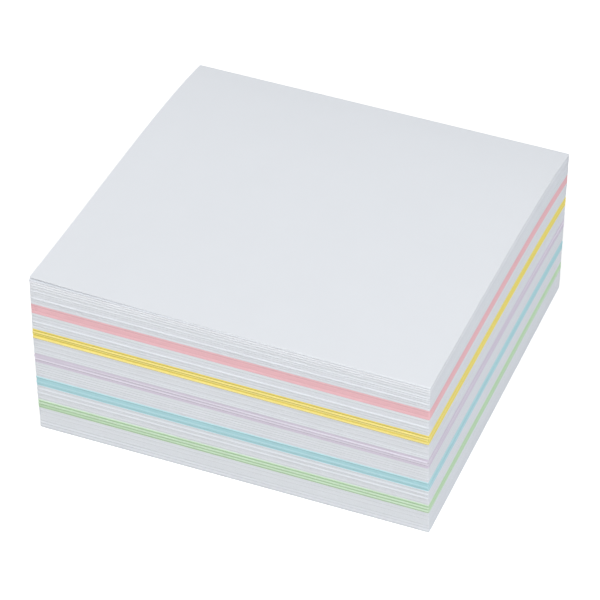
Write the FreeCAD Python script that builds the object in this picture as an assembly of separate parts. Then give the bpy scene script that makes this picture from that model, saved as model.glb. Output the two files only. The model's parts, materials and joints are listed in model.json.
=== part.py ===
import FreeCAD, Part
import math
import os
import random

# A memo cube: a square block of loose note paper, cut on a guillotine.
# Runs of white sheets alternate with thinner runs of green, cyan, lavender, yellow and pink.
#
# Frame: millimetres, +Z up, origin on the table under the middle of the block's outline.
# The front face looks along -Y and the right face along +X.
#
# Each run of one colour is one solid. It is lofted through the edges of its packets, sheets
# that moved as one, so every ledge that a slipped packet leaves is there.
# Air between the sheets makes the block swell at the front and arch over its depth.
# On top lies one loose sheet, whose front left corner curls up.

os.makedirs("parts", exist_ok=True)

# --- Sheets -----------------------------------------------------------------------------
SHEET_WIDTH = 90.0        # left to right
SHEET_DEPTH = 90.0        # front to back
SHEET_THICKNESS = 0.1     # office paper of 80 g/m2

# --- How the sheets lie on each other -------------------------------------------------------
LEAN_LEFT = 0.48          # how far the block has slid to the left between foot and top
LEAN_FORWARD = 0.14       # and how far forward
TWIST = 0.63              # degrees that it has turned on the way, clockwise from above
JOG_SIDE = 0.03           # each packet lies up to this far off to the left or right
JOG_FRONT = 0.03          # and up to this far off to the front or back
PACKET_AIR = 0.02         # height of the air between two packets, where the wall steps across
RUN_AIR = 0.03            # height of the air between two runs

# --- The air in the block ---------------------------------------------------------------------
# Under a sheet, at a share of the full height (0 foot, 1 top) and of the depth (0 front,
# 1 back), it is swell * share ** 3 * (1 - depth ** 5) + arch * share * (depth - depth ** 5).
SWELL_LEFT = 1.9          # swell along the left side
SWELL_RIGHT = 1.75        # and along the right side
ARCH_LEFT = 1.0           # arch along the left side
ARCH_RIGHT = 1.7          # and along the right side
DEPTH_POLES = 6           # Bezier poles along a side: a curve of the fifth degree

# --- The loose sheet on top ---------------------------------------------------------------------
CURL_LIFT = 0.8           # how far its front left corner rises
CURL_POLES = 4            # Bezier poles along its front: the corner one alone is lifted

# --- The runs of one colour, from the table up ----------------------------------------------------
# Each is a node name and its packets from the foot up: (how many sheets, how far forward,
# degrees turned; a minus brings the right forward).
RUNS = (
    ("white_sheets_1", (
        (4, 0.0, 0.0), (4, 0.12, -0.02), (5, 0.0, 0.0), (3, 0.14, 0.05), (4, 0.0, 0.0),
        (4, 0.10, 0.0), (12, 0.01, 0.0), (3, 0.05, 0.0), (8, 0.0, 0.0), (3, 0.08, 0.0),
        (5, 0.01, 0.0))),
    ("green_sheets", (
        (3, 0.0, 0.0), (4, 0.14, -0.12), (4, 0.0, 0.0), (4, 0.20, 0.0), (4, 0.0, 0.0),
        (4, 0.20, 0.02))),
    ("white_sheets_2", (
        (3, 0.0, 0.0), (4, 0.08, 0.0), (9, 0.01, 0.0), (4, 0.20, -0.04), (4, 0.0, 0.0),
        (2, 0.06, 0.0), (2, 0.0, 0.0), (3, 0.19, -0.04), (6, 0.0, 0.0), (2, 0.10, -0.04))),
    ("cyan_sheets", (
        (5, 0.0, 0.0), (6, 0.07, -0.03), (10, 0.0, 0.0), (3, 0.28, 0.0))),
    ("white_sheets_3", (
        (2, 0.03, 0.0), (3, 0.0, 0.0), (4, 0.11, 0.0), (4, 0.0, 0.0), (2, 0.06, 0.03),
        (3, 0.0, 0.0), (3, 0.13, 0.02), (4, 0.02, 0.0), (2, 0.10, 0.0), (5, 0.0, 0.0),
        (2, 0.08, 0.02), (4, 0.02, 0.0))),
    ("lavender_sheets", (
        (8, 0.03, 0.0), (2, 0.14, 0.02), (5, 0.0, 0.0), (2, 0.20, -0.24), (8, 0.0, 0.0))),
    ("white_sheets_4", (
        (3, 0.21, 0.0), (1, 0.0, 0.0), (3, 0.10, -0.02), (8, 0.02, 0.0), (2, 0.09, 0.03),
        (9, 0.02, 0.0), (3, 0.09, 0.0), (5, 0.0, 0.0), (4, 0.14, -0.03))),
    ("yellow_sheets", (
        (1, 0.0, 0.0), (3, 0.26, 0.0), (5, 0.0, 0.0), (2, 0.14, -0.14), (3, 0.0, 0.0),
        (3, 0.26, -0.03), (3, 0.0, 0.0), (4, 0.10, 0.0))),
    ("white_sheets_5", (
        (2, 0.12, 0.0), (1, 0.0, 0.0), (2, 0.16, 0.0), (4, 0.02, 0.0), (3, 0.15, 0.0),
        (5, 0.02, 0.0), (3, 0.32, -0.02), (7, 0.02, 0.0), (1, 0.08, 0.08), (5, 0.0, 0.0),
        (2, 0.10, -0.02), (4, 0.02, 0.0))),
    ("pink_sheets", (
        (5, 0.08, 0.0), (3, 0.0, 0.0), (8, 0.04, 0.0), (3, 0.0, 0.0), (4, 0.13, 0.0))),
    ("white_sheets_6", (
        (3, 0.10, 0.0), (3, 0.0, 0.0), (3, 0.14, -0.04), (3, 0.0, 0.0), (3, 0.30, 0.0),
        (3, 0.02, 0.0), (2, 0.10, -0.05), (3, 0.0, 0.0), (2, 0.14, -0.10), (3, 0.0, 0.0),
        (2, 0.16, -0.02), (5, 0.02, 0.0), (3, 0.12, 0.0), (3, 0.0, 0.0), (3, 0.18, -0.03),
        (3, 0.02, 0.0), (3, 0.26, -0.02), (2, 0.02, 0.0), (2, 0.26, 0.0))),
)

STACK_SHEETS = sum(packet[0] for run in RUNS for packet in run[1])


def sheet_place(level, side=0.0, forward=0.0, turn=0.0):
    """Where a sheet lies that many sheets above the table, with the lean of the block there."""
    ease = math.sin(level / STACK_SHEETS * math.pi / 2)
    middle = FreeCAD.Vector(side - LEAN_LEFT * ease, -forward - LEAN_FORWARD * ease, 0)
    return FreeCAD.Placement(middle, FreeCAD.Rotation(FreeCAD.Vector(0, 0, 1), turn - TWIST * ease))


def jogged_place(scatter, level, forward, turn):
    """The same for a packet of sheets, with a small jog of its own."""
    own_side = scatter.uniform(-JOG_SIDE, JOG_SIDE)
    own_forward = scatter.uniform(-JOG_FRONT, JOG_FRONT)
    return sheet_place(level, own_side, forward + own_forward, turn)


# --- Leaves ---------------------------------------------------------------------------------------


def side_poles(place, level, lift, right, swell, arch):
    """Bezier poles of the left or right edge of a sheet, from front to back.

    A sheet that has slipped follows the air under it, so its edge is the part of the air's
    curve that lies between the depths of its two corners. The pole of a power there is the
    product of the two depths, each as often as the pole's place in the row says.
    """
    share = level / STACK_SHEETS
    below = sheet_place(level).inverse()
    front = place.multVec(FreeCAD.Vector(right, -SHEET_DEPTH / 2, 0))
    back = place.multVec(FreeCAD.Vector(right, SHEET_DEPTH / 2, 0))
    near = below.multVec(front).y / SHEET_DEPTH + 0.5
    far = below.multVec(back).y / SHEET_DEPTH + 0.5
    degree = DEPTH_POLES - 1
    poles = []
    for number in range(DEPTH_POLES):
        power = near ** (degree - number) * far ** number
        depth = near + (far - near) * number / degree
        pole = front + (back - front) * (number / degree)
        air = swell * share ** 3 * (1 - power) + arch * share * (depth - power)
        pole.z = level * SHEET_THICKNESS + lift + air
        poles.append(pole)
    return poles


def leaf_poles(place, level, lift, columns=2):
    """Bezier poles of one side of a sheet, in rows from front to back, straight across."""
    left = side_poles(place, level, lift, -SHEET_WIDTH / 2, SWELL_LEFT, ARCH_LEFT)
    right = side_poles(place, level, lift, SHEET_WIDTH / 2, SWELL_RIGHT, ARCH_RIGHT)
    shares = [column / (columns - 1) for column in range(columns)]
    return [[one + (other - one) * share for share in shares] for one, other in zip(left, right)]


def bezier_edge(poles):
    curve = Part.BezierCurve()
    curve.setPoles(poles)
    return curve.toShape()


def leaf_edges(rows):
    """Front, right, back and left edge of a leaf, in turn round it."""
    front = rows[0]
    right = [row[-1] for row in rows]
    back = rows[-1][::-1]
    left = [row[0] for row in rows][::-1]
    return [bezier_edge(poles) for poles in (front, right, back, left)]


def leaf_face(rows):
    surface = Part.BezierSurface()
    surface.increase(len(rows) - 1, len(rows[0]) - 1)
    for row_number, row in enumerate(rows, start=1):
        for column_number, pole in enumerate(row, start=1):
            surface.setPole(row_number, column_number, pole)
    return surface.toShape()


def closed_solid(walls, foot, top):
    """A solid from its walls and the faces that close it below and above."""
    shell = Part.Shell(walls + [foot, top])
    shell.sewShape()
    return Part.Solid(shell)


# --- The pieces -----------------------------------------------------------------------------------


def sheets_run(name, packets, first_level):
    """A run as one solid: a ruled loft through the lower and upper edges of its packets."""
    scatter = random.Random(name)
    leaves = []
    level = first_level
    for number, (count, forward, turn) in enumerate(packets):
        air_below = PACKET_AIR if number > 0 else RUN_AIR
        air_above = PACKET_AIR if number < len(packets) - 1 else RUN_AIR
        place = jogged_place(scatter, level, forward, turn)
        leaves.append(leaf_poles(place, level, air_below / 2 if level > 0 else 0.0))
        level += count
        leaves.append(leaf_poles(place, level, -air_above / 2))
    outlines = [Part.Wire(leaf_edges(rows)) for rows in leaves]
    walls = Part.makeLoft(outlines, False, True).Faces
    foot = leaf_face(leaves[0]) if first_level > 0 else Part.Face(outlines[0])
    return closed_solid(walls, foot, leaf_face(leaves[-1]))


def top_sheet():
    """The loose sheet: it follows the run below it, and its front left corner curls up."""
    lower = leaf_poles(sheet_place(STACK_SHEETS), STACK_SHEETS, RUN_AIR / 2, CURL_POLES)
    lower[0][0].z += CURL_LIFT
    thickness = FreeCAD.Vector(0, 0, SHEET_THICKNESS)
    upper = [[pole + thickness for pole in row] for row in lower]
    edges = zip(leaf_edges(lower), leaf_edges(upper))
    walls = [Part.makeRuledSurface(below, above) for below, above in edges]
    return closed_solid(walls, leaf_face(lower), leaf_face(upper))


# --- The block -----------------------------------------------------------------------------------------

pieces = {}
level = 0
for name, packets in RUNS:
    pieces[name] = sheets_run(name, packets, level)
    level += sum(packet[0] for packet in packets)
pieces["top_sheet"] = top_sheet()

# The origin goes under the middle of the outline that all the sheets make together.
outline = Part.makeCompound(list(pieces.values())).optimalBoundingBox(False)
to_middle = FreeCAD.Vector(-outline.Center.x, -outline.Center.y, 0)
for name, piece in pieces.items():
    piece.translate(to_middle)
    piece.exportStep("parts/" + name + ".step")
    print(f"{name}: {piece.Volume:.0f} mm3, {len(piece.Faces)} faces, valid {piece.isValid()}")
print(f"{STACK_SHEETS + 1} sheets, {STACK_SHEETS * SHEET_THICKNESS:.1f} mm at the back edge")
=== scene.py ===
# %% [markdown]
# # A memo cube of loose note paper
#
# The object is a square block of 383 paper sheets, cut on a guillotine: runs of white sheets,
# parted by thinner runs of green, cyan, lavender, yellow and pink ones. Nothing holds the sheets
# but their weight, so packets of them have slipped a little, air makes the block swell at the
# front and arch over its depth, and the front left corner of the top sheet curls up.
#
# The CAD frame holds each run as one solid, with the ledges that the slipped packets leave. This
# script gives each run its real sheets: a wall with a fine groove between each two sheets, worked
# out with numpy, and paper for a finish.

# %% The frame
import json

import bpy
import numpy as np
from mathutils import Matrix, Vector
from mathutils.bvhtree import BVHTree


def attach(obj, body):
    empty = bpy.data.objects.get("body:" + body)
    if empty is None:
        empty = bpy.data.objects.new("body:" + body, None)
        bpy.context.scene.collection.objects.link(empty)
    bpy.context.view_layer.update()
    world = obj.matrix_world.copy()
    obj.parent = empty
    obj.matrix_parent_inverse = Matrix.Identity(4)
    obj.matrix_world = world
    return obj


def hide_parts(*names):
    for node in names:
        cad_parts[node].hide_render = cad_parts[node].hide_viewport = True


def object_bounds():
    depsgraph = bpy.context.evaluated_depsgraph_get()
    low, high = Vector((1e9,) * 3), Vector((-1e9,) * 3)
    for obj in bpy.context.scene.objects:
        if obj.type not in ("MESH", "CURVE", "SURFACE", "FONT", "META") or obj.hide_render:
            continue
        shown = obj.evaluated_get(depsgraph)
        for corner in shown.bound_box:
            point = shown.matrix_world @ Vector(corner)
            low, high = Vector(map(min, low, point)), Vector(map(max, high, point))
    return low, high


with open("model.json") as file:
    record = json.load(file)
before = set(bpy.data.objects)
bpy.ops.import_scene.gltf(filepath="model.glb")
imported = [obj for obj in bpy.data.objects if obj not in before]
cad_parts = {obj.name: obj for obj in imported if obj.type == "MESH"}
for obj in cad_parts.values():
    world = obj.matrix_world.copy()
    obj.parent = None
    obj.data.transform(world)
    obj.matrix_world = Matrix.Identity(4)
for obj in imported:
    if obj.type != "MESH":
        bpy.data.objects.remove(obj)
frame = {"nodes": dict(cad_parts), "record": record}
cad_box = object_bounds()
MM = 0.001
print("CAD box, mm:", [[round(c / MM, 2) for c in corner] for corner in cad_box])

# %% [markdown]
# ## The camera
#
# A block like this is best seen from above one corner, over a long lens, so that its edges stay
# nearly parallel. A camera can be placed by hand, or aimed by a constraint. Here two angles and a
# distance put it on a sphere round a point inside the block, because that says plainly where it
# stands. A very small roll stands for a camera that wasn't quite level.

# %% The camera
CAMERA_AZIMUTH = np.radians(20.94)       # from straight in front, towards the right face
CAMERA_ELEVATION = np.radians(38.65)     # above the table
CAMERA_ROLL = np.radians(0.84)
CAMERA_DISTANCE = 682.3 * MM
CAMERA_TARGET = Vector((0.60, -5.45, 20.0)) * MM
CAMERA_LENS = 186.6                      # mm, on a sensor 36 mm wide


def add_camera():
    """The camera, at target + distance * (sin a cos e, -cos a cos e, sin e)."""
    level = np.cos(CAMERA_ELEVATION)
    back = Vector((np.sin(CAMERA_AZIMUTH) * level, -np.cos(CAMERA_AZIMUTH) * level,
                   np.sin(CAMERA_ELEVATION)))
    camera = bpy.data.objects.new("camera", bpy.data.cameras.new("camera"))
    camera.data.sensor_width = 36.0
    camera.data.lens = CAMERA_LENS
    camera.data.clip_start = 10 * MM
    camera.rotation_mode = "QUATERNION"
    camera.location = CAMERA_TARGET + back * CAMERA_DISTANCE
    roll = Matrix.Rotation(CAMERA_ROLL, 3, "Z").to_quaternion()
    camera.rotation_quaternion = back.to_track_quat("Z", "Y") @ roll
    bpy.context.scene.collection.objects.link(camera)
    bpy.context.scene.camera = camera
    return camera


camera = add_camera()
print("camera at, mm:", [round(c / MM, 1) for c in camera.location])

# %% [markdown]
# ## The studio
#
# A white block is shown in a white room. A picture of a room could light it, but it would be one
# more file to read, so the world has one plain colour. It is dim on the paper, because white
# paper has to stay below white, or its edges melt into the background. Only the camera,
# reflections and glass see it at its full white.

# %% The world
WORLD_STRENGTH = 0.25

scene = bpy.context.scene
scene.view_settings.view_transform = "Standard"


def add_world():
    """An even world: strength + (1 - strength) * (is a camera, glossy or transmission ray)."""
    world = bpy.data.worlds.new("studio")
    scene.world = world
    world.use_nodes = True
    nodes = world.node_tree.nodes
    links = world.node_tree.links
    path = nodes.new("ShaderNodeLightPath")
    seen = nodes.new("ShaderNodeMath")
    seen.operation = "ADD"
    seen.use_clamp = True
    also = nodes.new("ShaderNodeMath")
    also.operation = "ADD"
    strength = nodes.new("ShaderNodeMapRange")
    strength.inputs["To Min"].default_value = WORLD_STRENGTH
    strength.inputs["To Max"].default_value = 1.0
    background = nodes["Background"]
    background.inputs["Color"].default_value = (1, 1, 1, 1)
    links.new(path.outputs["Is Camera Ray"], seen.inputs[0])
    links.new(path.outputs["Is Glossy Ray"], also.inputs[0])
    links.new(path.outputs["Is Transmission Ray"], also.inputs[1])
    links.new(also.outputs["Value"], seen.inputs[1])
    links.new(seen.outputs["Value"], strength.inputs["Value"])
    links.new(strength.outputs["Result"], background.inputs["Strength"])
    return world


print("world:", add_world().name)

# %% [markdown]
# ### Softboxes
#
# Small lamps would throw hard shadows, and a wide lamp throws soft ones, so the block gets
# softboxes. One overhead lights the top, so that every ledge catches it and shows as a fine
# bright line. One high in front and a wide, cool one low on the right light those two faces, a
# little less than the top. A weak one behind keeps the back from going dark. They stand some 20
# block widths away, so that the light hardly falls off over the block, and are just strong enough
# for a colour to render about as it is written.

# %% The softboxes
LAMP_DISTANCE = 1.8                      # metres, of each lamp from the block


def add_softbox(name, azimuth, elevation, size, power, colour=(1, 1, 1)):
    """A square lamp at distance * (sin a cos e, -cos a cos e, sin e), turned to face the block."""
    a = np.radians(azimuth)
    e = np.radians(elevation)
    back = Vector((np.sin(a) * np.cos(e), -np.cos(a) * np.cos(e), np.sin(e)))
    light = bpy.data.lights.new(name, "AREA")
    light.shape = "SQUARE"
    light.size = size
    light.energy = power
    light.color = colour
    lamp = bpy.data.objects.new(name, light)
    lamp.location = back * LAMP_DISTANCE
    lamp.rotation_mode = "QUATERNION"
    lamp.rotation_quaternion = back.to_track_quat("Z", "Y")
    scene.collection.objects.link(lamp)
    print(f"{name}: {power} W from {azimuth} degrees round and {elevation} up")


add_softbox("top_softbox", azimuth=20, elevation=78, size=0.9, power=4.8,
            colour=(0.95, 0.975, 1.0))
add_softbox("front_softbox", azimuth=8, elevation=48, size=0.75, power=16.4,
            colour=(1.0, 0.975, 0.955))
add_softbox("right_softbox", azimuth=80, elevation=28, size=1.35, power=11.1,
            colour=(0.95, 0.96, 1.0))
add_softbox("back_softbox", azimuth=205, elevation=15, size=1.2, power=6.0)

# %% [markdown]
# ### The table top
#
# The block stands on a white table. More light on the table would bleach the paper too, so what
# the camera sees of the floor gets a glow of its own, which lifts it to pure white and lights
# nothing. Near the block the glow is weaker, so that the floor keeps the block's soft shadow.

# %% The floor
FLOOR_SIZE = 4.0                         # metres
FLOOR_COLOUR = 0.74                      # linear
FLOOR_ROUGHNESS = 0.9
GLOW_NEAR = 0.52                         # in reach of the block's shadow
GLOW_FAR = 1.0                           # and where the floor runs out into the distance
GLOW_REACH = (0.12, 0.6)                 # metres from the block between which it grows


def glow_strength(tree):
    """Glow that the camera alone sees: from near to far with the distance from the block."""
    nodes = tree.nodes
    links = tree.links
    place = nodes.new("ShaderNodeTexCoord")
    away = nodes.new("ShaderNodeVectorMath")
    away.operation = "LENGTH"
    grow = nodes.new("ShaderNodeMapRange")
    for label, value in zip(("From Min", "From Max", "To Min", "To Max"),
                            (*GLOW_REACH, GLOW_NEAR, GLOW_FAR)):
        grow.inputs[label].default_value = value
    path = nodes.new("ShaderNodeLightPath")
    glow = nodes.new("ShaderNodeMath")
    glow.operation = "MULTIPLY"
    links.new(place.outputs["Object"], away.inputs[0])
    links.new(away.outputs["Value"], grow.inputs["Value"])
    links.new(path.outputs["Is Camera Ray"], glow.inputs[0])
    links.new(grow.outputs["Result"], glow.inputs[1])
    return glow.outputs["Value"]


def add_floor():
    """A white square table top at z = 0."""
    half = FLOOR_SIZE / 2
    corners = [(-half, -half, 0), (half, -half, 0), (half, half, 0), (-half, half, 0)]
    mesh = bpy.data.meshes.new("floor")
    mesh.from_pydata(corners, [], [(0, 1, 2, 3)])
    floor = bpy.data.objects.new("floor", mesh)
    material = bpy.data.materials.new("white_table")
    material.use_nodes = True
    tree = material.node_tree
    paint = tree.nodes["Principled BSDF"]
    paint.inputs["Base Color"].default_value = (FLOOR_COLOUR, FLOOR_COLOUR, FLOOR_COLOUR, 1)
    paint.inputs["Roughness"].default_value = FLOOR_ROUGHNESS
    paint.inputs["Emission Color"].default_value = (1, 1, 1, 1)
    tree.links.new(glow_strength(tree), paint.inputs["Emission Strength"])
    mesh.materials.append(material)
    scene.collection.objects.link(floor)
    return floor


print(f"{add_floor().name}: {FLOOR_SIZE} m wide")

# %% [markdown]
# ## Where each sheet lies
#
# The places of the sheets could be typed in, but then the looks would part from the CAD as soon as
# a size changes. So the script feels the solids. Rays come down on the top of a run, or up at its
# foot, and tell which of its faces make that side. The corners of those faces lie exactly on the
# side, and the four that lie furthest out along the diagonals are the side's own corners.

# %% The runs of the block
SHEET = 0.1 * MM                         # thickness of one sheet
RUNS = ("white_sheets_1", "green_sheets", "white_sheets_2", "cyan_sheets", "white_sheets_3",
        "lavender_sheets", "white_sheets_4", "yellow_sheets", "white_sheets_5", "pink_sheets",
        "white_sheets_6")
TOP_SHEET = "top_sheet"
FEEL_PLACES = np.linspace(-44, 44, 23) * MM                  # of the rays, in x and in y
DIAGONALS = np.array([(-1, -1), (1, -1), (1, 1), (-1, 1)])   # front left, front right, and so on


def solid_of(node):
    """A CAD node's points and triangles, and a search tree of them for rays to hit."""
    mesh = frame["nodes"][node].data
    mesh.calc_loop_triangles()
    triangles = np.array([triangle.vertices for triangle in mesh.loop_triangles])
    points = np.array([vertex.co for vertex in mesh.vertices])
    return points, triangles, BVHTree.FromPolygons(points.tolist(), triangles.tolist())


def side_points(node, way):
    """Points on a node's top (way 1) or foot (way -1), and that side's four corners in plan."""
    points, triangles, tree = solid_of(node)
    start = cad_box[1].z / 2 + way * cad_box[1].z
    met = [tree.ray_cast(Vector((x, y, start)), Vector((0, 0, -way)))[2]
           for x in FEEL_PLACES for y in FEEL_PLACES]
    side = points[np.unique(triangles[met])]
    return side, side[(side[:, :2] @ DIAGONALS.T).argmax(axis=0), :2]


print("foot of the block:", len(side_points(RUNS[0], -1)[0]), "points lie on it")

# %% [markdown]
# ## The shape of a side
#
# Paper with air under it doesn't slope like a plank. It rises gently from the front edge and comes
# down in one smooth curve to the back edge, where the block is pressed shut. The solid's triangles
# are too coarse to copy, so least squares fit six numbers to their corners: a level, a slope
# across, a slope and a fifth power of the way deep, and how both of those change across. The curl
# of the top sheet is a seventh one: the third power of the way from the right edge times the fifth
# power of the way from the back.

# %% Heights over the block
DEPTH_POWER = 5
CURL_POWER = 3


def ways(corners, x, y):
    """Way across (0 left, 1 right) and way deep (0 front, 1 back) of points, between corners."""
    east, north = corners[1] - corners[0], corners[3] - corners[0]
    dx, dy = x - corners[0, 0], y - corners[0, 1]
    across = (dx * east[0] + dy * east[1]) / (east @ east)
    deep = (dx * north[0] + dy * north[1]) / (north @ north)
    return across, deep


def height_terms(across, deep):
    """The terms 1, a, d, ad, d^5, ad^5 and (1-a)^3 (1-d)^5 of ways a and d, stacked last."""
    power = deep ** DEPTH_POWER
    curl = (1 - across).clip(0) ** CURL_POWER * (1 - deep).clip(0) ** DEPTH_POWER
    one = np.ones_like(across)
    return np.stack([one, across, deep, across * deep, power, across * power, curl], axis=-1)


def felt_height(node, way):
    """A function of x and y that gives the height of a node's top (way 1) or foot (way -1)."""
    points, corners = side_points(node, way)
    terms = height_terms(*ways(corners, points[:, 0], points[:, 1]))
    if node != TOP_SHEET:
        terms[:, -1] = 0
    numbers = np.linalg.lstsq(terms, points[:, 2], rcond=1e-9)[0]
    worst = np.abs(terms @ numbers - points[:, 2]).max() / MM
    print(f"{node}: {'top' if way > 0 else 'foot'} fits {len(points)} points to {worst:.4f} mm")
    return lambda x, y: height_terms(*ways(corners, x, y)) @ numbers


feet = {node: felt_height(node, -1) for node in (*RUNS, TOP_SHEET)}
tops = {node: felt_height(node, 1) for node in (*RUNS, TOP_SHEET)}

# %% [markdown]
# ## The corners of a sheet
#
# A sheet keeps its size however it slips, so four corners in plan say all about where it lies.
# They are rounded, so they can't be felt themselves. But two points on each side of the sheet
# give a line, and the lines of two sides cross at their corner. Where a packet has slipped, its
# outer sheets lag behind a little, so each sheet also leans towards its neighbours.

# %% Corners from points on the sides
PROBE_STATION = 38 * MM                  # of the two points, from the middle of their side


def line_through(reach):
    """How far out a side of each sheet lies at the middle, and its slope, from its two hits."""
    return reach.mean(axis=1), (reach[:, 1] - reach[:, 0]) / (2 * PROBE_STATION)


def crossing(across_side, deep_side):
    """Where y = a + b * x and x = c + d * y meet: x = (c + d * a) / (1 - d * b)."""
    a, b = across_side
    c, d = deep_side
    x = (c + d * a) / (1 - d * b)
    return x, a + b * x


def fanned(corners):
    """Corners of packets that fan out a little: (sheet below + 4 * sheet + sheet above) / 6."""
    around = np.concatenate([corners[:1], corners, corners[-1:]])
    return (around[:-2] + 4 * around[1:-1] + around[2:]) / 6


print("y = 2 and x = 3 cross at", crossing((2.0, 0.0), (3.0, 0.0)))

# %% [markdown]
# ## Feeling the walls
#
# A plane could cut the solid at the height of every sheet, but rays find the points sooner: two
# on each of the four walls, halfway up each sheet. A run knows its number of sheets by its height
# at the pressed back edge, where no air is left.

# %% The corners of each sheet
HALF_SHEET = 45 * MM
PROBE_START = 60 * MM                    # where the rays start, outside the block
INSET = 0.01 * MM                        # keeps the paper a hair inside the CAD walls
SIDE_NORMALS = np.array([(0.0, -1.0), (1.0, 0.0), (0.0, 1.0), (-1.0, 0.0)])
SIDE_ALONG = np.array([(1.0, 0.0), (0.0, 1.0), (1.0, 0.0), (0.0, 1.0)])
BACK_MIDDLE = np.array((0.0, HALF_SHEET))


def feel_corners(node, count, foot_height, top_height):
    """Corners of a run's sheets in plan, (sheet, corner, xy), from the front left round."""
    tree = solid_of(node)[2]
    reach = np.zeros((count, 4, 2))
    for side, (normal, along) in enumerate(zip(SIDE_NORMALS, SIDE_ALONG)):
        for end, station in enumerate((-PROBE_STATION, PROBE_STATION)):
            start = normal * PROBE_START + along * station
            wall = normal * HALF_SHEET + along * station
            foot, top = foot_height(*wall), top_height(*wall)
            for sheet in range(count):
                height = foot + (top - foot) * (sheet + 0.5) / count
                hit = tree.ray_cast(Vector((*start, height)), Vector((*-normal, 0)))[0]
                reach[sheet, side, end] = np.dot(hit.xy - INSET * Vector(normal), np.abs(normal))
    front, right, back, left = (line_through(reach[:, side]) for side in range(4))
    pairs = (front, left), (front, right), (back, right), (back, left)
    corners = np.array([crossing(*pair) for pair in pairs])
    return fanned(np.moveaxis(corners, 2, 0))


corners_of = {}
for node in RUNS:
    count = round((tops[node](*BACK_MIDDLE) - feet[node](*BACK_MIDDLE)) / SHEET)
    corners_of[node] = feel_corners(node, count, feet[node], tops[node])
    front_left = (corners_of[node][0, 0] / MM).round(2)
    print(f"{node}: {count} sheets, the lowest one's front left corner at {front_left} mm")

# %% [markdown]
# ## Once round a sheet
#
# Cut paper has sharp corners, but hands soon blunt them. A Bevel modifier could round them, but it
# would do each sheet in its own way. Here the outline of every sheet has the same stations, with
# a small arc at each corner, so that two sheets can be joined point by point. The stations stand
# closer together near the corners, where the block curves most.

# %% The stations of the outline
SIDE_STATIONS = 22                       # on each side, besides the arcs
CORNER_RADIUS = 0.2 * MM
ARC_STEPS = 3                            # from the end of one side to the start of the next
CROWDING = 0.6                           # 0 spaces the stations evenly, 1 as a cosine


def outline_stations():
    """For each station: the corner before and after it, its share of the way, shift and normal."""
    even = np.linspace(0, 1, SIDE_STATIONS)
    share = even * (1 - CROWDING) + (1 - np.cos(np.pi * even)) / 2 * CROWDING
    margin = CORNER_RADIUS / (2 * HALF_SHEET)
    share = margin + share * (1 - 2 * margin)
    rows = []
    for side in range(4):
        before = SIDE_NORMALS[side - 1]
        normal = SIDE_NORMALS[side]
        for step in range(1, ARC_STEPS):
            angle = np.pi / 2 * step / ARC_STEPS
            facing = before * np.cos(angle) + normal * np.sin(angle)
            shift = CORNER_RADIUS * (facing - before - normal)
            rows.append((side, side, 0.0, *shift, *facing))
        for part in share:
            rows.append((side, (side + 1) % 4, part, 0.0, 0.0, *normal))
    table = np.array(rows)
    before, after = table[:, 0].astype(int), table[:, 1].astype(int)
    return before, after, table[:, 2], table[:, 3:5], table[:, 5:7]


STATION_FROM, STATION_TO, STATION_SHARE, STATION_SHIFT, STATION_NORMAL = outline_stations()
STATIONS = len(STATION_SHARE)


def outlines(corners):
    """Outlines of sheets in plan, (sheet, station, xy): corner to corner, plus the arc's shift."""
    share = STATION_SHARE[:, None]
    return corners[:, STATION_FROM] * (1 - share) + corners[:, STATION_TO] * share + STATION_SHIFT


print(STATIONS, "stations round a sheet")

# %% [markdown]
# ## Air between the sheets
#
# No two sheets lie equally close. Gaps of one width would look printed, and gaps drawn freely
# could let sheets cut through each other. So the air that a run holds is shared out: each gap
# has a random weight, which two sine waves change a little on the way round the block, and the
# sum of the shares below a sheet says how far the air lifts it.

# %% Air between the sheets
AIR_SPREAD = (0.5, 1.5)                  # how unevenly the air of a run is shared out
AIR_WAVE = 0.3                           # and how much each share changes round the block


def wave_round(rng, rows, turns):
    """Smooth random values from -1 to 1 at each station, one row each: two sine waves."""
    way = np.linspace(0, 2 * np.pi, STATIONS, endpoint=False)
    phase = rng.uniform(0, 2 * np.pi, (2, rows, 1))
    slow = np.sin(way * turns + phase[0])
    fast = np.sin(way * (2 * turns + 1) + phase[1])
    return (slow + fast) / 2


def air_shares(rng, count):
    """Share of a run's air that lies below each boundary of its sheets, (boundary, station)."""
    weight = rng.uniform(*AIR_SPREAD, (count, 1)) * (1 + AIR_WAVE * wave_round(rng, count, 2))
    shares = np.cumsum(weight, axis=0) / weight.sum(axis=0)
    return np.vstack([np.zeros((1, STATIONS)), shares])


print("air under each of five sheets:", air_shares(np.random.default_rng(0), 5)[:, 0].round(2))

# %% [markdown]
# ## A run of sheets as one surface
#
# Loose slabs would need two large faces each that nobody sees. Instead one skin goes round the
# whole run: out over the lowest sheet, up its edge, into the groove under the next sheet, out
# and up again, and at last in over the top sheet. Each sheet adds three rows of points to it:
# the heel and the head of its edge, a hair short of its full thickness because the cut rounds
# it, and the bottom of the groove above it. No two grooves are equally deep. Where a sheet stands
# out past the next one up, the groove starts from the one that lies further in, and the ledge
# comes of itself.

# %% Rows of points of a run
EDGE_ROUNDING = 0.012 * MM               # of a sheet's edge, above and below
GROOVE_DEPTH = 0.02 * MM                 # of the shallowest grooves between two sheets
GROOVE_SPREAD = 0.04 * MM                # the deepest are this much deeper


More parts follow.
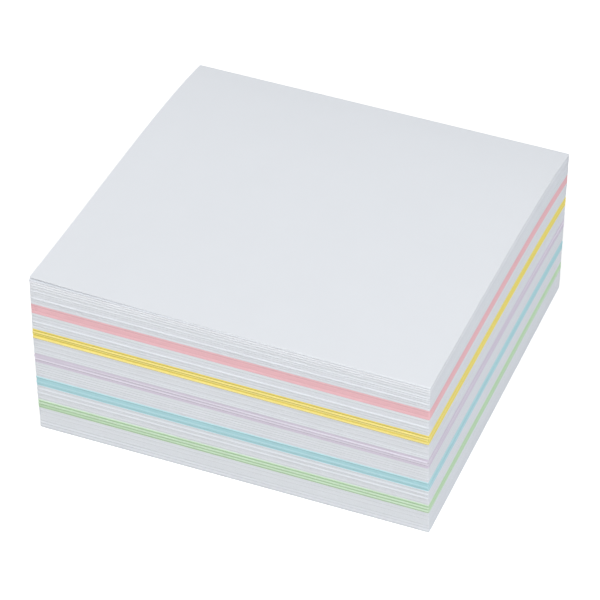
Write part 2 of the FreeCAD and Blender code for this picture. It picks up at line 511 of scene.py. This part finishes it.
def run_rows(rng, corners, foot_height, top_height):
    """Rows of a run's skin, (row, station, xyz), and how far sheets stand out past the next ones.

    A sheet's underside is at foot + number * sheet + share of the air, and its upper side one
    sheet further up. A groove's bottom is halfway between two sheets, a depth in from the inner.
    """
    plan = outlines(corners)
    count = len(plan)
    x, y = plan[:, :, 0], plan[:, :, 1]
    foot = foot_height(x, y)
    air = top_height(x, y) - foot - count * SHEET
    shares = air_shares(rng, count)
    number = np.arange(count)[:, None]
    lower = foot + number * SHEET + shares[:-1] * air
    upper = foot + (number + 1) * SHEET + shares[1:] * air
    step = ((plan[:-1] - plan[1:]) * STATION_NORMAL).sum(axis=2)
    inner = np.where(step[:, :, None] > 0, plan[1:], plan[:-1])
    depth = GROOVE_DEPTH + GROOVE_SPREAD * rng.uniform(0, 1, (count - 1, 1, 1))
    groove = np.dstack([inner - depth * STATION_NORMAL, (lower[1:] + upper[:-1]) / 2])
    heel = np.dstack([plan, lower + EDGE_ROUNDING])
    head = np.dstack([plan, upper - EDGE_ROUNDING])
    rim = plan - EDGE_ROUNDING * STATION_NORMAL
    first = np.dstack([rim[:1], lower[:1]])
    last = np.dstack([rim[-1:], upper[-1:]])
    body = np.empty((3 * count - 1, STATIONS, 3))
    body[0::3], body[1::3], body[2::3] = heel, head, groove
    return np.concatenate([first, body, last]), step


node = RUNS[1]
trial = run_rows(np.random.default_rng(0), corners_of[node], feet[node], tops[node])
print(f"{node}: {len(trial[0])} rows, widest ledge {trial[1].max() / MM:.2f} mm")

# %% [markdown]
# ## Closing the skin
#
# The wall still needs a face below and one above. One large polygon each would be simple, but it
# couldn't follow the swell. So rings go in from the rim and shrink to one point in the middle.
# The whole skin is then a grid with a pole at each end, and one formula numbers all its faces.

# %% Rings and faces
LID_SHARES = np.array([0.998, 0.99, 0.97, 0.93, 0.87, 0.79, 0.69, 0.57, 0.43, 0.28, 0.13])


def lid_rows(rim, height):
    """Rings from a rim in to its middle, (ring, station, xyz): middle + share * (rim - middle)."""
    middle = rim[:, :2].mean(axis=0)
    plan = middle + LID_SHARES[:, None, None] * (rim[:, :2] - middle)
    return np.dstack([plan, height(plan[:, :, 0], plan[:, :, 1])])


def grid_faces(rows):
    """Quads between the rows of a grid, and the triangles that close it at a pole at each end.

    Point s of row r has the number r * stations + s, and the two poles come last.
    """
    here = np.arange(STATIONS)
    after = (here + 1) % STATIONS
    row = np.arange(rows - 1)[:, None] * STATIONS
    quads = np.dstack([row + here, row + after, row + STATIONS + after, row + STATIONS + here])
    low_pole = rows * STATIONS
    last = (rows - 1) * STATIONS
    low = np.column_stack([after, here, np.full(STATIONS, low_pole)])
    high = np.column_stack([last + here, last + after, np.full(STATIONS, low_pole + 1)])
    return quads.reshape(-1, 4), np.vstack([low, high])


print("a grid of 30 rows:", [len(faces) for faces in grid_faces(30)], "quads and triangles")

# %% [markdown]
# ## From points to a mesh
#
# Points and faces can be handed to Blender as Python lists, with from_pydata. With foreach_set
# whole numpy arrays are copied at once, which is far quicker for tens of thousands of points.
# Smooth shading would blur the rims, so edges that turn by more than an angle are marked sharp.
# Numbers that the paper reads later go along with the points and faces as attributes.

# %% The mesh
SHARP = np.radians(35)


def mesh_of(name, points, quads, triangles):
    """A smooth mesh with sharp edges, filled with foreach_set."""
    mesh = bpy.data.meshes.new(name)
    mesh.vertices.add(len(points))
    mesh.vertices.foreach_set("co", points.astype(np.float32).ravel())
    corners = np.concatenate([quads.ravel(), triangles.ravel()])
    starts = np.concatenate([np.arange(len(quads)) * 4,
                             quads.size + np.arange(len(triangles)) * 3])
    mesh.loops.add(len(corners))
    mesh.loops.foreach_set("vertex_index", corners.astype(np.int32))
    mesh.polygons.add(len(starts))
    mesh.polygons.foreach_set("loop_start", starts.astype(np.int32))
    mesh.update(calc_edges=True)
    mesh.validate()
    mesh.shade_smooth()
    mesh.set_sharp_from_angle(angle=SHARP)
    return mesh


def add_values(mesh, domain, name, numbers):
    """One number for each point or face under a name, for the material to read."""
    layer = mesh.attributes.new(name, "FLOAT", domain)
    layer.data.foreach_set("value", numbers.astype(np.float32))


print("edges are sharp from", round(np.degrees(SHARP)), "degrees")

# %% [markdown]
# ## Wear and painted light on the walls
#
# What stands out is painted lighter: a painted highlight where light catches it, and wear where
# hands rub it. That is the head of a sheet with a ledge on it, the ledge itself and the corners,
# and the sheets near the top far more than the rest, which would lie in shade. The grooves and the
# sheets under an overhang get painted shade. A shader can look for such places with ambient
# occlusion, but that is slow and never sharp. The skin knows them exactly, so it says of each point
# how light or dark its sheet is, how much painted highlight and wear it has, and how much painted
# shade.

# %% Wear and painted light of the walls
FULL_STEP = 0.045 * MM                   # standing out this far gets full highlight and wear all along
# corners are painted lighter: wear, and a painted highlight down each corner
CORNER_RUB_AND_HIGHLIGHT = 0.5
# painted shade in the grooves between sheets
GROOVE_SHADE = 0.3
TOP_LIGHTENING = 32                             # how many times more the top gets painted highlight
TOP_POWER = 24                           # of the height: the larger, the sooner that ends below
FLAT = 0.99                              # a normal with no part above this is at a corner


def sheet_values(edges, last):
    """Values of sheets, (sheet, station): of the boundaries above them, and one for the last."""
    return np.vstack([edges.clip(0, 1), np.full((1, STATIONS), float(last))])


def wall_values(rng, step, height, open_top):
    """Tone, rub and shade of the wall rows of a run at their heights, each (row, station).

    Rub, a painted highlight with wear, is step / full step, at most 1, times
    1 + top lightening * (height / block's height) ** power. Shade, painted shade under an
    overhang and in the grooves, is the same of a step the other way, divided by the second factor.
    Tone is random.
    """
    count = len(step) + 1
    out, under = sheet_values(step / FULL_STEP, open_top), sheet_values(-step / FULL_STEP, 0)
    tone, rub_and_highlight, shade = np.zeros((3, 3 * count - 1, STATIONS))
    sheet_tone = rng.normal(0, 1, (count, 1))
    tone[0::3] = tone[1::3] = sheet_tone
    tone[2::3] = (sheet_tone[1:] + sheet_tone[:-1]) / 2
    rub_and_highlight[0::3] = rub_and_highlight[1::3] = out
    rub_and_highlight[2::3] = out[:-1]
    shade[0::3] = shade[1::3] = under
    shade[2::3] = np.maximum(under[:-1], GROOVE_SHADE * (1 - out[:-1]))
    at_corner = np.abs(STATION_NORMAL).max(axis=1) < FLAT
    # painted light towards the top, which also thins the painted shade there
    top_lightening = 1 + TOP_LIGHTENING * (height / cad_box[1].z) ** TOP_POWER
    return tone, np.maximum(rub_and_highlight * top_lightening, CORNER_RUB_AND_HIGHLIGHT * at_corner), shade / top_lightening


tone, rub_and_highlight, shade = wall_values(np.random.default_rng(0), trial[1], trial[0][1:-1, :, 2], False)
print(f"{node}: most rubbed {rub_and_highlight.max():.2f}, most shaded {shade.max():.2f}")

# %% [markdown]
# ## A run as a piece
#
# Rows, rings, faces and values together make one closed piece. It could be joined from a wall and
# two lids, but then its seams would have to be merged. Here the wall and the lids share one
# grid. Only ledges show of the lids, and the gap under the curl, so they are painted lighter all
# over: painted highlight on the ledges and painted light in that shaded gap. Each face of the wall
# between a heel and a head is marked as cut.

# %% A run as a piece
def sheets_piece(name, seed, corners, foot_height, top_height, open_rings=0):
    """A run of sheets, or one sheet, as a closed piece with its values for the material.

    open_rings is how many rings of its upper lid lie open to the air. They are not painted lighter.
    """
    rng = np.random.default_rng(seed)
    walls, step = run_rows(rng, corners, foot_height, top_height)
    below = lid_rows(walls[0], foot_height)
    above = lid_rows(walls[-1], top_height)
    rows = np.concatenate([below[::-1], walls, above])
    middles = np.vstack([below[-1].mean(axis=0), above[-1].mean(axis=0)])
    mesh = mesh_of(name, np.vstack([rows.reshape(-1, 3), middles]), *grid_faces(len(rows)))

    lids = len(below)
    on_walls = wall_values(rng, step, walls[1:-1, :, 2], open_rings > 0)
    # lids get a rub of 1: painted highlight on the ledges and painted light in the gap under the
    # curl
    for label, wall, lid in zip(("tone", "rub_and_highlight", "shade"), on_walls, (0, 1, 0)):
        values = np.full((len(rows), STATIONS), float(lid))
        values[lids + 1:-lids - 1] = wall
        values[len(rows) - open_rings:] = 0
        add_values(mesh, "POINT", label, np.append(values, [lid, 0 if open_rings else lid]))
    cut = np.zeros((len(rows) - 1, STATIONS))
    cut[lids + 1:-lids - 1:3] = 1
    add_values(mesh, "FACE", "cut", np.append(cut, np.zeros(2 * STATIONS)))
    piece = bpy.data.objects.new(name, mesh)
    scene.collection.objects.link(piece)
    print(f"{name}: {len(corners)} sheets, {len(mesh.polygons)} faces")
    return piece


# %% [markdown]
# ## Paper
#
# Office paper is matt and nearly white, a little blue from the brightener in it. Its face and its
# cut edge look different, both wear, and both get painted highlight and painted shade. Six papers
# share these three looks, so each look is a shader group, built once and placed in each paper with
# its own values. Image textures could show the same, but noise needs no file and stays sharp from
# any distance.

# %% A group of nodes
COLOUR = "NodeSocketColor"
VALUE = "NodeSocketFloat"
WHITE = (1, 1, 1, 1)


def new_group(name, inputs, outputs):
    """A shader group with named sockets: (name, kind, default) in, (name, kind) out."""
    group = bpy.data.node_groups.new(name, "ShaderNodeTree")
    for label, kind, default in inputs:
        socket = group.interface.new_socket(label, in_out="INPUT", socket_type=kind)
        socket.default_value = default
    for label, kind in outputs:
        group.interface.new_socket(label, in_out="OUTPUT", socket_type=kind)
    return group


print("ready: new_group, with sockets for a", COLOUR, "or a", VALUE)

# %% [markdown]
# ### Sums with nodes
#
# The looks are sums: a colour times one plus a few small changes. Each plus or times is a node,
# and laying out every node would bury the formula. So small functions lay them, and the code
# of a look reads like its formula.

# %% Sums and products
def math_node(tree, operation, first, second, clamp=False):
    """One sum on two values, each a socket or a number; gives back the socket with the result."""
    node = tree.nodes.new("ShaderNodeMath")
    node.operation = operation
    node.use_clamp = clamp
    for socket, value in zip(node.inputs, (first, second)):
        if isinstance(value, bpy.types.NodeSocket):
            tree.links.new(value, socket)
        else:
            socket.default_value = value
    return node.outputs["Value"]


def total(tree, first, *others):
    """The sum of some values, each a socket or a number."""
    for other in others:
        first = math_node(tree, "ADD", first, other)
    return first


def swing(tree, noise, amount):
    """Noise that lightens as much as it darkens: (noise - 0.5) * amount."""
    return math_node(tree, "MULTIPLY", math_node(tree, "SUBTRACT", noise, 0.5), amount)


print("ready: math_node, total, swing")

# %% [markdown]
# ### Noise and mixes
#
# Paper has no pattern that repeats, so its marks are noise on Object coordinates, which stay with
# the piece wherever it goes. A Mapping node squeezes the noise along the axes, because fibres and
# knife marks are long and thin. Two more functions darken a colour and mix two looks.

# %% Noise, shade and mix
def noise_node(tree, place, size, detail, squeeze=(1, 1, 1)):
    """Noise from 0 to 1, with marks of that size in metres, squeezed along the axes.

    Detail is how many times finer noise lies on it.
    """
    mapping = tree.nodes.new("ShaderNodeMapping")
    mapping.inputs["Scale"].default_value = squeeze
    noise = tree.nodes.new("ShaderNodeTexNoise")
    noise.inputs["Scale"].default_value = 1 / size
    noise.inputs["Detail"].default_value = detail
    tree.links.new(place, mapping.inputs["Vector"])
    tree.links.new(mapping.outputs["Vector"], noise.inputs["Vector"])
    return noise.outputs["Fac"]


def shaded(tree, colour, amount):
    """A colour made lighter or darker: colour * amount."""
    scale = tree.nodes.new("ShaderNodeVectorMath")
    scale.operation = "SCALE"
    tree.links.new(colour, scale.inputs[0])
    tree.links.new(amount, scale.inputs["Scale"])
    return scale.outputs["Vector"]


def mixed(tree, kind, factor, first, second):
    """A mix of two colours or two values: first * (1 - factor) + second * factor."""
    node = tree.nodes.new("ShaderNodeMix")
    node.data_type = kind
    sockets = [socket for socket in node.inputs if socket.enabled]
    for value, socket in zip((factor, first, second), sockets):
        tree.links.new(value, socket)
    return next(socket for socket in node.outputs if socket.enabled)


print("ready: noise_node, shaded, mixed")

# %% [markdown]
# ### The face of a sheet
#
# Against the light paper is cloudy, because its fibres bunch up, and close by it has a fine
# tooth. One noise can't be both, so there are three scales of it: clouds some 9 mm wide, the
# tooth, and the fibres, which lie more from left to right than from front to back because the
# mill draws them that way. The clouds change the colour by about one part in a hundred, and the
# tooth and the fibres go to the bump.

# %% The face of a sheet
CLOUD_SIZE = 9 * MM
TOOTH_SIZE = 0.25 * MM
FIBRE_SIZE = 0.5 * MM
FIBRE_SQUEEZE = (0.35, 1.6, 1)           # below 1 draws them out along that axis
TOOTH_CONTRAST = 0.02
FIBRE_RELIEF = 0.6                       # next to 1 for the tooth
FACE_ROUGHNESS, TOOTH_ROUGHNESS = 0.78, 0.15


def face_group():
    """Colour * (1 + clouds + tooth), roughness from the tooth, height = tooth + fibres."""
    group = new_group("paper_face",
                      [("Color", COLOUR, WHITE), ("Clouds", VALUE, 0.02)],
                      [("Color", COLOUR), ("Roughness", VALUE), ("Height", VALUE)])
    given = group.nodes.new("NodeGroupInput")
    result = group.nodes.new("NodeGroupOutput")
    place = group.nodes.new("ShaderNodeTexCoord").outputs["Object"]
    clouds = noise_node(group, place, CLOUD_SIZE, 3)
    tooth = noise_node(group, place, TOOTH_SIZE, 4)
    fibres = noise_node(group, place, FIBRE_SIZE, 3, FIBRE_SQUEEZE)
    light = total(group, swing(group, clouds, given.outputs["Clouds"]),
                  swing(group, tooth, TOOTH_CONTRAST), 1.0)
    rough = total(group, math_node(group, "MULTIPLY", tooth, TOOTH_ROUGHNESS), FACE_ROUGHNESS)
    height = total(group, math_node(group, "MULTIPLY", fibres, FIBRE_RELIEF), tooth)
    group.links.new(shaded(group, given.outputs["Color"], light), result.inputs["Color"])
    group.links.new(rough, result.inputs["Roughness"])
    group.links.new(height, result.inputs["Height"])
    return group


paper_face = face_group()
print(f"{paper_face.name}: {len(paper_face.nodes)} nodes")

# %% [markdown]
# ### The nick in the blade
#
# The blade comes down at a slant, so a nick in it leaves one fine light line across the front
# face, over all the sheets. A groove could be cut into the mesh, but the line is only as wide as
# three sheets are thick and shows by its colour alone. So the distance to a slanting line makes it.

# %% The nick in the blade
NICK_AT = (12.4 * MM, 38 * MM)           # a point of the line on the front face, x and z
NICK_ANGLE = np.radians(41)              # its slant from straight down
NICK_WIDTH = 0.16 * MM


def nick_line(tree, place):
    """The nick's line, in front only: 1 - |(x - x0) * cos angle + (z - z0) * sin angle| / width."""
    axes = tree.nodes.new("ShaderNodeSeparateXYZ")
    tree.links.new(place, axes.inputs["Vector"])
    aside = math_node(tree, "SUBTRACT", axes.outputs["X"], NICK_AT[0])
    aside = math_node(tree, "MULTIPLY", aside, float(np.cos(NICK_ANGLE)))
    down = math_node(tree, "SUBTRACT", axes.outputs["Z"], NICK_AT[1])
    down = math_node(tree, "MULTIPLY", down, float(np.sin(NICK_ANGLE)))
    distance = math_node(tree, "ABSOLUTE", total(tree, aside, down), 0)
    share = math_node(tree, "DIVIDE", distance, NICK_WIDTH)
    line = math_node(tree, "SUBTRACT", 1, share, clamp=True)
    return math_node(tree, "MULTIPLY", line, math_node(tree, "LESS_THAN", axes.outputs["Y"], 0))


print(f"nick: {NICK_WIDTH / MM:.2f} mm wide to each side, {NICK_AT[1] / MM:.0f} mm up at one point")

# %% [markdown]
# ### The cut edge
#
# The knife goes down through the whole block, so its marks run up the walls, from sheet to sheet.
# The fibre ends make a fine grain along each sheet, and each sheet is a touch lighter or darker
# than the next. Grain and marks are the same noise, squeezed two ways. The tone of a sheet can't
# be noise, which knows nothing of sheets, so it comes from the value that the skin brings along.

# %% The cut edge
GRAIN_SIZE = 0.2 * MM
GRAIN_SQUEEZE = (1, 1, 2.5)              # above 1 makes it flat
GRAIN_CONTRAST, GRAIN_ROUGHNESS = 0.05, 0.12
MARK_SIZE = 1.2 * MM
MARK_SQUEEZE = (1, 1, 0.03)
MARK_CONTRAST = 0.03
NICK_LIGHT = 0.05
EDGE_ROUGHNESS = 0.84


def edge_group():
    """Colour * shade * (1 + tone + nick + grain + marks), and height = grain + marks."""
    group = new_group("cut_edge",
                      [("Color", COLOUR, WHITE), ("Tone", VALUE, 0.0),
                       ("Tone Amount", VALUE, 0.015), ("Shade", VALUE, 0.93)],
                      [("Color", COLOUR), ("Roughness", VALUE), ("Height", VALUE)])
    given = group.nodes.new("NodeGroupInput")
    result = group.nodes.new("NodeGroupOutput")
    place = group.nodes.new("ShaderNodeTexCoord").outputs["Object"]
    grain = noise_node(group, place, GRAIN_SIZE, 3, GRAIN_SQUEEZE)
    marks = noise_node(group, place, MARK_SIZE, 2, MARK_SQUEEZE)
    tone = math_node(group, "MULTIPLY", given.outputs["Tone"], given.outputs["Tone Amount"])
    nick = math_node(group, "MULTIPLY", nick_line(group, place), NICK_LIGHT)
    light = total(group, tone, 1.0, nick, swing(group, grain, GRAIN_CONTRAST),
                  swing(group, marks, MARK_CONTRAST))
    # shade darkens each cut wall against the face: partly its porous cut, partly painted shade of
    # the sides
    light = math_node(group, "MULTIPLY", light, given.outputs["Shade"])
    rough = total(group, math_node(group, "MULTIPLY", grain, GRAIN_ROUGHNESS), EDGE_ROUGHNESS)
    group.links.new(shaded(group, given.outputs["Color"], light), result.inputs["Color"])
    group.links.new(rough, result.inputs["Roughness"])
    group.links.new(total(group, grain, marks), result.inputs["Height"])
    return group


cut_edge = edge_group()
print(f"{cut_edge.name}: {len(cut_edge.nodes)} nodes")

# %% [markdown]
# ### Wear and painted light
#
# A rim that stands out is painted lighter, towards the colour of bare fibres: partly a rubbed rim,
# partly a painted highlight where light catches a ledge. What lies in a groove or in the shade of
# an overhang is painted darker, as painted shade. The places could be painted on by hand. Here they
# are the values that the skin brings along, and this group only says what they do to the colour.

# %% Wear and painted light
# lighter colour of bare fibres and of the painted highlight
FIBRES_AND_HIGHLIGHT = (0.94, 0.96, 0.99, 1)


def wear_and_light_group():
    """Colour to fibres by rub * amount (wear, painted highlight), * (1 - painted shade * amount).
    """
    group = new_group("wear",
                      [("Color", COLOUR, WHITE), ("Rub And Highlight", VALUE, 0.0), ("Painted Shade", VALUE, 0.0),
                       ("Rub And Highlight Amount", VALUE, 0.55), ("Painted Shade Amount", VALUE, 0.22),
                       ("Fibres And Highlight", COLOUR, FIBRES_AND_HIGHLIGHT)],
                      [("Color", COLOUR)])
    given = group.nodes.new("NodeGroupInput")
    result = group.nodes.new("NodeGroupOutput")
    rub_and_highlight_share = math_node(group, "MULTIPLY", given.outputs["Rub And Highlight"], given.outputs["Rub And Highlight Amount"])
    lightened = mixed(group, "RGBA", rub_and_highlight_share, given.outputs["Color"], given.outputs["Fibres And Highlight"])
    painted_shade_share = math_node(group, "MULTIPLY", given.outputs["Painted Shade"], given.outputs["Painted Shade Amount"])
    light = math_node(group, "SUBTRACT", 1, painted_shade_share)
    group.links.new(shaded(group, lightened, light), result.inputs["Color"])
    return group


wear = wear_and_light_group()
print(f"{wear.name}: {len(wear.nodes)} nodes")

# %% [markdown]
# ### The colours
#
# Six papers, one for each material slot of the record. Their colours are easiest to choose as
# they look on screen, from 0 to 255, but a shader wants linear values, so a function turns the
# one into the other. The last two numbers are how much lighter a rim that stands out is painted,
# as wear and painted highlight, and how much darker the painted shade makes grooves and what lies
# under an overhang: both hardly show on white paper, and more on the dyed ones.

# %% The colours
PAPERS = {
    "white_paper": (233, 237, 242, 0.06, 0.08),
    "pink_paper": (247, 200, 207, 0.1, 0.15),
    "yellow_paper": (255, 239, 123, 0.2, 0.55),
    "lavender_paper": (226, 219, 234, 0.42, 0.45),
    "cyan_paper": (187, 230, 237, 0.25, 0.3),
    "green_paper": (205, 236, 199, 0.38, 0.5),
}


def linear(screen):
    """Linear value of a screen colour: ((c + 0.055) / 1.055) ** 2.4 with c from 0 to 1."""
    c = np.array(screen) / 255
    return np.where(c <= 0.04045, c / 12.92, ((c + 0.055) / 1.055) ** 2.4)


for name, numbers in PAPERS.items():
    print(f"{name}: linear {linear(numbers[:3]).round(3)}")

# %% [markdown]
# ### The papers
#
# A paper is its face where the skin is whole and its cut edge where the knife went, with the wear
# and the painted highlight and shade over both. A material could be copied for each colour. One
# function that makes them all keeps them alike, and each gets only its colour and its two amounts
# of wear and painted light.

# %% The papers
BUMP_HEIGHT = 0.012 * MM
SPECULAR = 0.25                          # paper shines less than plastic, which has 0.5


def place_group(tree, group, colour):
    """A shader group in a material, with the paper's colour set on it."""
    node = tree.nodes.new("ShaderNodeGroup")
    node.node_tree = group
    node.inputs["Color"].default_value = (*colour, 1)
    return node


def attribute(tree, name):
    """The numbers that a piece keeps under a name, at each place of its surface."""
    node = tree.nodes.new("ShaderNodeAttribute")
    node.attribute_name = name
    return node.outputs["Fac"]


def paper(name, screen_colour, rub_and_highlight_amount, painted_shade_amount):
    """One paper: face where cut is 0, cut edge where it is 1, wear and painted light on both."""
    material = bpy.data.materials.new(name)
    material.use_nodes = True
    tree = material.node_tree
    shader = tree.nodes["Principled BSDF"]
    colour = linear(screen_colour)
    on_face = place_group(tree, paper_face, colour)
    on_edge = place_group(tree, cut_edge, colour)
    wear_and_light_node = place_group(tree, wear, colour)
    wear_and_light_node.inputs["Rub And Highlight Amount"].default_value = rub_and_highlight_amount
    wear_and_light_node.inputs["Painted Shade Amount"].default_value = painted_shade_amount
    tree.links.new(attribute(tree, "tone"), on_edge.inputs["Tone"])
    tree.links.new(attribute(tree, "rub_and_highlight"), wear_and_light_node.inputs["Rub And Highlight"])
    tree.links.new(attribute(tree, "shade"), wear_and_light_node.inputs["Painted Shade"])
    cut = attribute(tree, "cut")
    clean = mixed(tree, "RGBA", cut, on_face.outputs["Color"], on_edge.outputs["Color"])
    tree.links.new(clean, wear_and_light_node.inputs["Color"])
    tree.links.new(wear_and_light_node.outputs["Color"], shader.inputs["Base Color"])
    rough = mixed(tree, "FLOAT", cut, on_face.outputs["Roughness"], on_edge.outputs["Roughness"])
    tree.links.new(rough, shader.inputs["Roughness"])
    bump = tree.nodes.new("ShaderNodeBump")
    bump.inputs["Distance"].default_value = BUMP_HEIGHT
    height = mixed(tree, "FLOAT", cut, on_face.outputs["Height"], on_edge.outputs["Height"])
    tree.links.new(height, bump.inputs["Height"])
    tree.links.new(bump.outputs["Normal"], shader.inputs["Normal"])
    shader.inputs["Specular IOR Level"].default_value = SPECULAR
    return material


papers = {name: paper(name, numbers[:3], *numbers[3:]) for name, numbers in PAPERS.items()}
print("papers:", ", ".join(papers))

# %% [markdown]
# ## Laying the runs
#
# Now the block is stacked from the table up. The CAD solids could get the paper themselves, but
# their walls have no grooves, so each run's piece stands for its CAD node instead: it rides on the
# block's one body and takes the finish of that node's slot. The sheets of the last run follow the
# curl of the top sheet a part of the way, as loose paper does.

# %% All the runs
slot_of = {part["node"]: part["material_slot"] for part in frame["record"]["subparts"]}
FOLLOWING = 0.4                          # how far the last run rises into the air under the curl


def lay(piece, node):
    """Gives a piece its paper, puts it on the block's body, and hides the node it stands for."""
    piece.data.materials.append(papers[slot_of[node]])
    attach(piece, "root")
    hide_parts(node)


def curled_top(x, y):
    """Top of the last run: top + following * (foot of the top sheet - top)."""
    top = tops[RUNS[-1]](x, y)
    return top + FOLLOWING * (feet[TOP_SHEET](x, y) - top).clip(0)


for seed, node in enumerate(RUNS):
    top = curled_top if node == RUNS[-1] else tops[node]
    lay(sheets_piece(node + "_paper", seed, corners_of[node], feet[node], top), node)

# %% [markdown]
# ## The top sheet
#
# The loose sheet on top could be a grid of its own with a Solidify modifier. But one sheet is
# only a run of one, so the same function makes it, with its own four corners. Its upper side lies
# open, and only the outermost of the rings there is painted lighter, as wear and painted highlight.

# %% The top sheet
corners = side_points(TOP_SHEET, 1)[1][None]
piece = sheets_piece(TOP_SHEET + "_paper", len(RUNS), corners, feet[TOP_SHEET], tops[TOP_SHEET],
                     open_rings=len(LID_SHARES) - 1)
lay(piece, TOP_SHEET)
